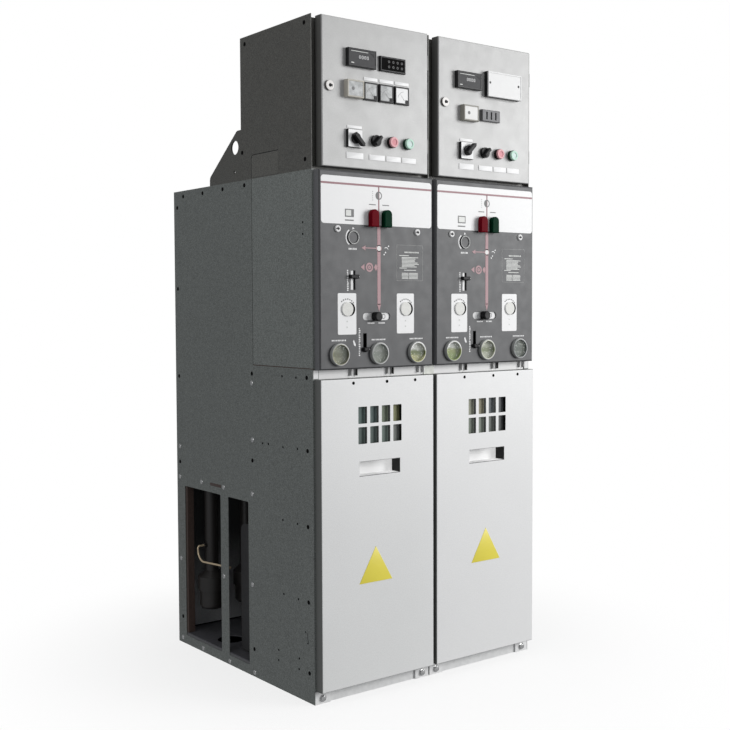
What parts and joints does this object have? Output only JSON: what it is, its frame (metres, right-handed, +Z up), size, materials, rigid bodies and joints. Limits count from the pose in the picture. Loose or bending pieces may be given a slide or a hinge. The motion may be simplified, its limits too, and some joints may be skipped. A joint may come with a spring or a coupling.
{
  "type": "solid insulated switchgear",
  "caption": "Ganged floor-standing switchgear cabinets with instrument boxes on top, mimic panels in the middle and lift-off cable covers below.",
  "frame": {"origin": "on the floor, at the middle of the base between the two cabinets", "axes": "+Z up, -Y out of the front, +X to the right seen from the front"},
  "size_m": [0.84, 0.8393, 1.907],
  "materials": {
    "cabinet_grey": "fine powder coat",
    "box_grey": "fine powder coat",
    "door_grey": "satin powder coat",
    "cover_grey": "satin powder coat",
    "panel_grey": "satin print on sheet",
    "zinc_steel": "zinc plated",
    "cast_resin": "smooth cast resin",
    "bright_metal": "bright plated",
    "black_plastic": "moulded",
    "white_plastic": "moulded",
    "red_plastic": "moulded",
    "green_plastic": "moulded",
    "copper": "bare strand",
    "pane_glass": "tinted pane",
    "port_glass": "clear disc"
  },
  "bodies": {
    "root": {"left_base_frame": "zinc_steel", "left_floor_plate": "zinc_steel", "left_side_plate": "cabinet_grey", "left_mechanism_cover": "cabinet_grey", "left_inner_side_plate": "cabinet_grey", "left_rear_cover": "cabinet_grey", "left_deck": "cabinet_grey", "left_switch_module": "cast_resin", "left_mimic_panel": "panel_grey", "left_instrument_box": "box_grey", "right_base_frame": "zinc_steel", "right_floor_plate": "zinc_steel", "right_side_plate": "cabinet_grey", "right_mechanism_cover": "cabinet_grey", "right_inner_side_plate": "cabinet_grey", "right_rear_cover": "cabinet_grey", "right_deck": "cabinet_grey", "right_switch_module": "cast_resin", "right_mimic_panel": "panel_grey", "right_instrument_box": "box_grey", "viewport_bezels": "bright_metal", "viewport_glasses": "port_glass", "panel_locks": "bright_metal", "shaft_covers": "white_plastic", "charge_dials": "black_plastic", "trim_rails": "zinc_steel", "hinge_brackets": "zinc_steel", "lifting_lugs": "cabinet_grey", "earth_leads": "copper", "insulated_poles": "cast_resin"},
    "left_door": {"left_instrument_door": "door_grey", "left_door_lock": "bright_metal", "left_door_instruments": "black_plastic", "left_door_lamps": "black_plastic"},
    "left_cover": {"left_cable_cover": "cover_grey", "left_cover_pane": "pane_glass", "left_cover_handle": "white_plastic"},
    "left_cam_switch": {"left_cam_switch": "black_plastic"},
    "left_selector_knob": {"left_selector_knob": "black_plastic"},
    "left_open_button": {"left_open_button": "red_plastic"},
    "left_close_button": {"left_close_button": "green_plastic"},
    "left_interlock_lever": {"left_interlock_lever": "black_plastic"},
    "left_low_lever": {"left_low_lever": "black_plastic"},
    "left_slide_knob": {"left_slide_knob": "black_plastic"},
    "right_door": {"right_instrument_door": "door_grey", "right_door_lock": "bright_metal", "right_door_instruments": "black_plastic", "right_door_lamps": "black_plastic"},
    "right_cover": {"right_cable_cover": "cover_grey", "right_cover_pane": "pane_glass", "right_cover_handle": "white_plastic"},
    "right_cam_switch": {"right_cam_switch": "black_plastic"},
    "right_selector_knob": {"right_selector_knob": "black_plastic"},
    "right_open_button": {"right_open_button": "red_plastic"},
    "right_close_button": {"right_close_button": "green_plastic"},
    "right_interlock_lever": {"right_interlock_lever": "black_plastic"},
    "right_low_lever": {"right_low_lever": "black_plastic"},
    "right_slide_knob": {"right_slide_knob": "black_plastic"}
  },
  "joints": [
    {"name": "left_door_hinge", "type": "hinge", "parent": "root", "child": "left_door", "pos_m": [-0.015, -0.404, 1.7005], "axis": [0, 0, 1], "range_deg": [0, 100]},
    {"name": "left_cover_lift_off", "type": "slide", "parent": "root", "child": "left_cover", "axis": [0, -0.9397, 0.342], "range_m": [0, 0.35]},
    {"name": "left_cam_switch_turn", "type": "hinge", "parent": "left_door", "child": "left_cam_switch", "pos_m": [-0.29301, -0.416, 1.57799], "axis": [0, -1, 0], "range_deg": [0, 90]},
    {"name": "left_selector_turn", "type": "hinge", "parent": "left_door", "child": "left_selector_knob", "pos_m": [-0.21601, -0.416, 1.57799], "axis": [0, -1, 0], "range_deg": [0, 90]},
    {"name": "left_open_button_press", "type": "slide", "parent": "root", "child": "left_open_button", "axis": [0, 1, 0], "range_m": [0, 0.004], "stiffness_N_per_m": 400},
    {"name": "left_close_button_press", "type": "slide", "parent": "root", "child": "left_close_button", "axis": [0, 1, 0], "range_m": [0, 0.004], "stiffness_N_per_m": 400},
    {"name": "left_interlock_lever_slide", "type": "slide", "parent": "root", "child": "left_interlock_lever", "axis": [0, 0, 1], "range_m": [-0.0305, 0.0115]},
    {"name": "left_low_lever_slide", "type": "slide", "parent": "root", "child": "left_low_lever", "axis": [0, 0, 1], "range_m": [0, 0.039]},
    {"name": "left_slide_knob_shift", "type": "slide", "parent": "root", "child": "left_slide_knob", "axis": [1, 0, 0], "range_m": [-0.0326, 0.0444]},
    {"name": "right_door_hinge", "type": "hinge", "parent": "root", "child": "right_door", "pos_m": [0.405, -0.404, 1.7005], "axis": [0, 0, 1], "range_deg": [0, 100]},
    {"name": "right_cover_lift_off", "type": "slide", "parent": "root", "child": "right_cover", "axis": [0, -0.9397, 0.342], "range_m": [0, 0.35]},
    {"name": "right_cam_switch_turn", "type": "hinge", "parent": "right_door", "child": "right_cam_switch", "pos_m": [0.12699, -0.416, 1.57799], "axis": [0, -1, 0], "range_deg": [-90, 0]},
    {"name": "right_selector_turn", "type": "hinge", "parent": "right_door", "child": "right_selector_knob", "pos_m": [0.20399, -0.416, 1.57799], "axis": [0, -1, 0], "range_deg": [0, 90]},
    {"name": "right_open_button_press", "type": "slide", "parent": "root", "child": "right_open_button", "axis": [0, 1, 0], "range_m": [0, 0.004], "stiffness_N_per_m": 400},
    {"name": "right_close_button_press", "type": "slide", "parent": "root", "child": "right_close_button", "axis": [0, 1, 0], "range_m": [0, 0.004], "stiffness_N_per_m": 400},
    {"name": "right_interlock_lever_slide", "type": "slide", "parent": "root", "child": "right_interlock_lever", "axis": [0, 0, 1], "range_m": [-0.0305, 0.0115]},
    {"name": "right_low_lever_slide", "type": "slide", "parent": "root", "child": "right_low_lever", "axis": [0, 0, 1], "range_m": [0, 0.039]},
    {"name": "right_slide_knob_shift", "type": "slide", "parent": "root", "child": "right_slide_knob", "axis": [1, 0, 0], "range_m": [-0.0326, 0.0444]}
  ]
}
